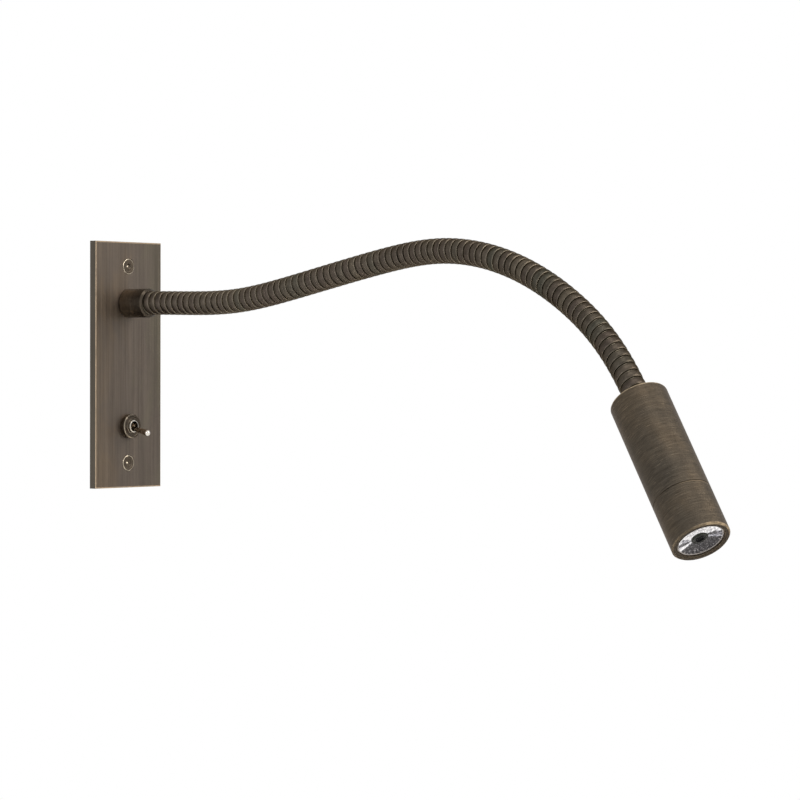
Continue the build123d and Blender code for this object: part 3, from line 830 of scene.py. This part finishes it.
solderTin = plainFinish("solderTin", {
    "metal": 1.0, "rough": 0.26, "grain": 700, "colour": (0.72, 0.72, 0.73), "deep": (0.54, 0.54, 0.56),
    "bump": 0.00004})


# lens, a clear moulding over a silvered dish with the lamp chip in its well; the dish's reflection, its
# highlights and the shade in its well are painted into its colour
lensLook = {
    "steps": 96,
    # distance from the top of the head and radius, in millimetres, from the dish's middle outwards
    "profile": ((71.05, 0.0), (71.1, 1.2), (71.2, 1.75), (71.65, 2.0), (71.75, 2.3), (71.55, 2.75),
                (71.45, 3.1), (71.30, 3.4), (71.35, 4.1), (71.62, 5.8), (71.95, 7.7), (72.18, 9.0),
                (72.26, 9.3), (72.40, 9.45), (72.48, 9.6), (72.49, 9.8), (72.49, 10.75), (71.0, 10.75),
                (71.0, 9.9), (65.4, 7.6), (61.4, 3.6), (61.4, 2.7), (65.0, 2.4), (65.6, 0.0)),
    "metal": 0.92,
    "rough": (0.10, 0.16, 0.26),             # least, plain and most
    "coat": 0.35,
    "coatRough": 0.03,
    "coatIor": 1.49,
    "lightSide": -0.80,                      # painted reflection: how far the bright half of the dish leans to the left
    # fine streaks and broad facets, by their scale round the axis and away from it
    "streakScales": (10.0, 1250),
    "facetScales": (3.4, 150),
    "facetReach": 3.4,                       # how far a facet shifts the painted reflection
    "streakReach": 1.7,
    # painted reflection: the dish's tones from its dark half to its bright half
    "dishReflectionTones": ((0.0, (0.034, 0.031, 0.035)), (0.40, (0.075, 0.072, 0.085)),
                  (0.52, (0.20, 0.20, 0.24)), (0.62, (0.52, 0.52, 0.60)), (0.72, (0.96, 0.96, 1.0))),
    "darkFleck": (0.30, 0.30, 0.33),
    # painted sparkle highlights, in the outer part of the dish
    "paintedSparkleTone": (0.50, 0.48, 0.50),
    "paintedSparkleFrom": (0.55, 0.68),
    "rimHighlightFrom": (0.0092, 0.0095),             # painted highlight: a bright line inside the bezel, on the side away from the light
    "rimHighlightTone": (0.27, 0.25, 0.24),
    # painted shade: the well round the lamp chip, and the middle over the chip, drawn nearly black
    "wellShadeFrom": (0.0038, 0.0041),
    "wellShadeRagged": 0.0005,
    "wellShadeTone": (0.022, 0.024, 0.020),
    "coreShadeFrom": (0.0021, 0.0027),
    "coreShadeTone": (0.004, 0.004, 0.004),
    "bump": 0.00012,
}


def spokeCloud(tree, spoke, radial, scales, detail, rough=0.55):
    # a cloud that runs round the head's axis at one scale and away from it at another
    roundScale, awayScale = scales
    away = work(tree, "MULTIPLY", radial, awayScale)
    place = workVector(tree, "ADD", workVector(tree, "SCALE", spoke, scale=roundScale),
                       workVector(tree, "SCALE", tuple(headWay), scale=away))
    return cloud(tree, place, detail=detail, rough=rough)


def lensFinish(look):
    least, plain, most = look["rough"]
    finish, tree, skin, where = startFinish("silveredLensPaintedReflection", look["metal"], plain, (
        ("Coat Roughness", look["coatRough"]), ("Coat IOR", look["coatIor"])), (1, 1, 1))
    # painted reflection: the dish is bright on the side towards lightWay and dark on the other, broken up
    # by facets and streaks
    lightWay = (headUpper - headBeside * look["lightSide"]).normalized()
    along, flat, radial = aboutAxis(tree, where, headTop, headWay)
    spoke = workVector(tree, "NORMALIZE", flat)
    toLight = workVector(tree, "DOT_PRODUCT", spoke, tuple(lightWay))
    streaks = spokeCloud(tree, spoke, radial, look["streakScales"], 4.0, 0.65)
    facets = spokeCloud(tree, spoke, radial, look["facetScales"], 1.5)
    turned = toLight
    for pattern, reach in ((facets, look["facetReach"]), (streaks, look["streakReach"])):
        turn = work(tree, "MULTIPLY", work(tree, "SUBTRACT", pattern, 0.5), reach)
        turned = work(tree, "ADD", turned, turn)
    dish = tones(tree, ramp(tree, turned, -1.0, 1.0), look["dishReflectionTones"])
    fleck = tones(tree, ramp(tree, streaks, 0.36, 0.60), ((0.0, look["darkFleck"]), (1.0, (1.0,) * 3)))
    dish = mixColours(tree, 1.0, dish, fleck, "MULTIPLY")
    # painted sparkle highlights towards the dish's edge
    outer = ramp(tree, radial, 0.005, 0.0085, 0.20, 0.60)
    paintedSparkle = work(tree, "MULTIPLY", ramp(tree, streaks, *look["paintedSparkleFrom"]), outer)
    dish = mixColours(tree, paintedSparkle, dish, look["paintedSparkleTone"])
    # painted highlight: a bright line at the dish's rim, on the side away from the light
    shadedSide = ramp(tree, toLight, 0.0, 0.8, 0.9, 0.1)
    rimHighlight = work(tree, "MULTIPLY", ramp(tree, radial, *look["rimHighlightFrom"]), shadedSide)
    dish = mixColours(tree, rimHighlight, dish, look["rimHighlightTone"])
    # painted shade in the well and over the chip
    ragged = work(tree, "ADD", radial, work(tree, "MULTIPLY", streaks, look["wellShadeRagged"]))
    well = ramp(tree, ragged, *look["wellShadeFrom"], 1.0, 0.0)
    dish = mixColours(tree, well, dish, look["wellShadeTone"])
    dish = mixColours(tree, ramp(tree, radial, *look["coreShadeFrom"], 1.0, 0.0), dish, look["coreShadeTone"])
    coat = work(tree, "MULTIPLY", work(tree, "SUBTRACT", 1.0, well), look["coat"])
    tree.links.new(dish, skin.inputs["Base Color"])
    tree.links.new(coat, skin.inputs["Coat Weight"])
    tree.links.new(ramp(tree, streaks, 0.3, 0.7, least, most), skin.inputs["Roughness"])
    dents(tree, skin, streaks, look["bump"])
    return finish


lensPiece = turnProfile("lens_moulding", lensLook["profile"], lensLook["steps"], headTop, headWay,
                        lensFinish(lensLook))
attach(lensPiece, "head")
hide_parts("lens")
print("lens turned")

# fixing screws, with a hexagon socket and a cut thread
screwShape = {
    "heights": (lampPlaces["screwHeight"], -lampPlaces["screwHeight"]),
    "steps": 48,
    # half sections in millimetres: distance from the wall, radius
    "head": ((3.30, 0), (3.22, 0.35), (3.02, 0.55), (3.00, 1.06), (3.72, 1.22), (3.84, 1.42),
             (3.88, 1.62), (3.84, 1.85), (3.83, 2.35), (3.88, 2.60), (3.90, 2.9), (3.90, 3.52),
             (3.86, 3.70), (3.70, 3.86), (1.80, 1.80), (1.70, 1.72), (0.05, 1.72)),
    "socket": (2.9, 3.75),                   # between these distances the radius is a hexagon's
    "socketFloor": 1.0,                      # and inside this radius it is round again
    "socketGrow": 1.08,
    "threadFrom": -0.1,
    "threadTo": -20.2,
    "threadPitch": 1.1,
    "threadRoot": 1.66,
    "threadCrest": 1.98,
    "threadRows": 8,                         # per turn
    "tip": ((-20.6, 1.45), (-20.95, 1.2), (-20.95, 0)),
}


def screwRadius(distance, radius, angle):
    shape = screwShape
    inSocket = shape["socket"][0] < distance < shape["socket"][1]
    if inSocket and radius > shape["socketFloor"]:
        sixth = (angle % (pi / 3)) - pi / 6
        return radius * cos(pi / 6) / cos(sixth) * shape["socketGrow"]
    if shape["threadTo"] <= distance <= shape["threadFrom"]:
        turn = (distance / shape["threadPitch"] + angle / (2 * pi)) % 1.0
        rise = 1 - abs(2 * turn - 1)
        return shape["threadRoot"] + (shape["threadCrest"] - shape["threadRoot"]) * rise
    return radius


def buildScrews(finish):
    shape = screwShape
    turns = (shape["threadFrom"] - shape["threadTo"]) / shape["threadPitch"]
    rows = int(turns * shape["threadRows"])
    places = np.linspace(shape["threadFrom"], shape["threadTo"], rows)
    thread = [(place, shape["threadRoot"]) for place in places]
    profile = list(shape["head"]) + thread + list(shape["tip"])
    for name, height in zip(("upper_screw", "lower_screw"), shape["heights"]):
        piece = turnProfile(name, profile, shape["steps"], Vector((0, 0, height)), outward, finish,
                            screwRadius)
        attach(piece, "base")
        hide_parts("fixing_screws")


screwFinish = turnedFinish("screwBronze", screwLook)
buildScrews(screwFinish)
print("screws cut")

finishes = {
    "wall_plate": plateFinish(plateLook),
    "fixing_screws": screwFinish,
    "arm_collar": turnedFinish("collarBronze", collarLook),
    "head_barrel": headFinish,
    "front_bezel": turnedFinish("turnedBezel", bezelLook),
    "switch_ring": turnedFinish("ringBronze", ringLook),
    "switch_bushing": turnedFinish("bushingNickel", nickelLook),
    "switch_lever": turnedFinish("leverNickel", leverLook),
    "collar_washer": zincPlate,
    "collar_nut": zincPlate,
    "switch_washer": zincPlate,
    "switch_frame": zincPlate,
    "board_screws": zincPlate,
    "head_nut": brassPlain,
    "head_ferrule": brassPlain,
    "switch_terminals": brassPlain,
    "switch_rocker": brassPlain,
    "switch_plunger": blackMoulding,
    "switch_case": blackMoulding,
    "lead_bush": blackMoulding,
    "heat_sink": turnedFinish("sinkAluminium", sinkLook),
    "lamp_board": boardMask,
    "lamp_chip": chipGel,
    "solder_joints": solderTin,
    "lens": lensPiece.data.materials[0],
    "lens_holder": turnedFinish("holderMirror", holderLook),
}
for nodeName, finish in finishes.items():
    data = nodes[nodeName].data
    data.materials.clear()
    data.materials.append(finish)
print("finishes on", len(finishes), "nodes")

# wall, floor and light
stageLook = {
    "wallBehind": 0.0005,
    "wallSides": (-3.0, 3.5),
    "floorHeight": -0.32,
    "wallTop": 1.6,
    "floorReach": -5.0,
    "ambient": 0.80,
    "floorTone": (0.86, 0.86, 0.85),
    "floorSpeckle": 0.985,
    "floorMiddle": -0.2,                     # in front of the wall
    "floorFade": (0.5, 1.5),
}


def seenRay(tree):
    rays = tree.nodes.new("ShaderNodeLightPath")
    seen = work(tree, "MAXIMUM", rays.outputs["Is Camera Ray"], rays.outputs["Is Glossy Ray"])
    return work(tree, "MAXIMUM", seen, rays.outputs["Is Transmission Ray"])


def mixShaders(tree, share, first, second):
    node = tree.nodes.new("ShaderNodeMixShader")
    tree.links.new(share, node.inputs[0])
    tree.links.new(first, node.inputs[1])
    tree.links.new(second, node.inputs[2])
    return node.outputs[0]


def makeWorld(look):
    world = bpy.data.worlds.new("studio")
    bpy.context.scene.world = world
    world.use_nodes = True
    tree = world.node_tree
    tree.nodes.clear()
    lit = tree.nodes.new("ShaderNodeBackground")
    lit.inputs["Strength"].default_value = look["ambient"]
    seen = tree.nodes.new("ShaderNodeBackground")
    seen.inputs["Color"].default_value = (1, 1, 1, 1)
    seen.inputs["Strength"].default_value = 1.0
    end = tree.nodes.new("ShaderNodeOutputWorld")
    tree.links.new(mixShaders(tree, seenRay(tree), lit.outputs[0], seen.outputs[0]), end.inputs["Surface"])


def wallFinish(look):
    finish = bpy.data.materials.new("wallPaint")
    finish.use_nodes = True
    tree = finish.node_tree
    tree.nodes.clear()
    paint = tree.nodes.new("ShaderNodeBsdfDiffuse")
    paint.inputs["Color"].default_value = (*look["floorTone"], 1)
    white = tree.nodes.new("ShaderNodeEmission")
    white.inputs["Strength"].default_value = 1.0
    nothing = tree.nodes.new("ShaderNodeBsdfTransparent")
    front = mixShaders(tree, seenRay(tree), paint.outputs[0], white.outputs[0])
    facing = tree.nodes.new("ShaderNodeNewGeometry").outputs["Backfacing"]
    end = tree.nodes.new("ShaderNodeOutputMaterial")
    tree.links.new(mixShaders(tree, facing, front, nothing.outputs[0]), end.inputs["Surface"])
    return finish


def floorFinish(look):
    finish, tree, skin, where = startFinish("floorPaint", 0.0, 0.8)
    speckled = cloud(tree, where, (60,) * 3, detail=3.0)
    pale = tuple(look["floorSpeckle"] * c for c in look["floorTone"])
    paint = tones(tree, speckled, ((0.3, pale), (0.7, look["floorTone"])))
    tree.links.new(paint, skin.inputs["Base Color"])
    # far from the lamp the floor runs out into the white background
    middle = (0, look["floorMiddle"], look["floorHeight"])
    beside = workVector(tree, "LENGTH", workVector(tree, "SUBTRACT", where, middle))
    fading = work(tree, "MULTIPLY", ramp(tree, beside, *look["floorFade"]), seenRay(tree))
    white = tree.nodes.new("ShaderNodeEmission")
    white.inputs["Strength"].default_value = 1.0
    end = tree.nodes["Material Output"]
    tree.links.new(mixShaders(tree, fading, skin.outputs[0], white.outputs[0]), end.inputs["Surface"])
    return finish


def makeStage(look):
    low, high = look["wallSides"]
    y, z, top, near = look["wallBehind"], look["floorHeight"], look["wallTop"], look["floorReach"]
    wall = meshFrom("wallStage", [(low, y, z), (high, y, z), (high, y, top), (low, y, top)],
                    [(0, 1, 2, 3)], (wallFinish(look),))
    floor = meshFrom("floorStage", [(low, near, z), (high, near, z), (high, y, z), (low, y, z)],
                     [(0, 1, 2, 3)], (floorFinish(look),))


lampAim = Vector((-0.02, -0.18, 0.0))
lampLooks = (
    {"name": "keyPanel", "place": (0.50, -1.65, 0.85), "size": 0.9, "power": 23,
     "colour": (1.0, 0.94, 0.86)},
    {"name": "leftPanel", "place": (-1.60, -0.60, 0.35), "size": 0.6, "power": 6,
     "colour": (0.92, 0.96, 1)},
    {"name": "topPanel", "place": (-0.20, -0.50, 1.40), "size": 0.7, "power": 5,
     "colour": (1, 0.98, 0.95)},
)


def makeLamps(looks):
    for look in looks:
        lamp = bpy.data.lights.new(look["name"], "AREA")
        lamp.shape = "SQUARE"
        lamp.size = look["size"]
        lamp.energy = look["power"]
        lamp.color = look["colour"]
        holder = bpy.data.objects.new(look["name"], lamp)
        bpy.context.scene.collection.objects.link(holder)
        place = Vector(look["place"])
        turned = (lampAim - place).to_track_quat("-Z", "Y").to_matrix().to_4x4()
        holder.matrix_world = Matrix.Translation(place) @ turned


makeWorld(stageLook)
makeStage(stageLook)
makeLamps(lampLooks)
print("stage and lamps set")
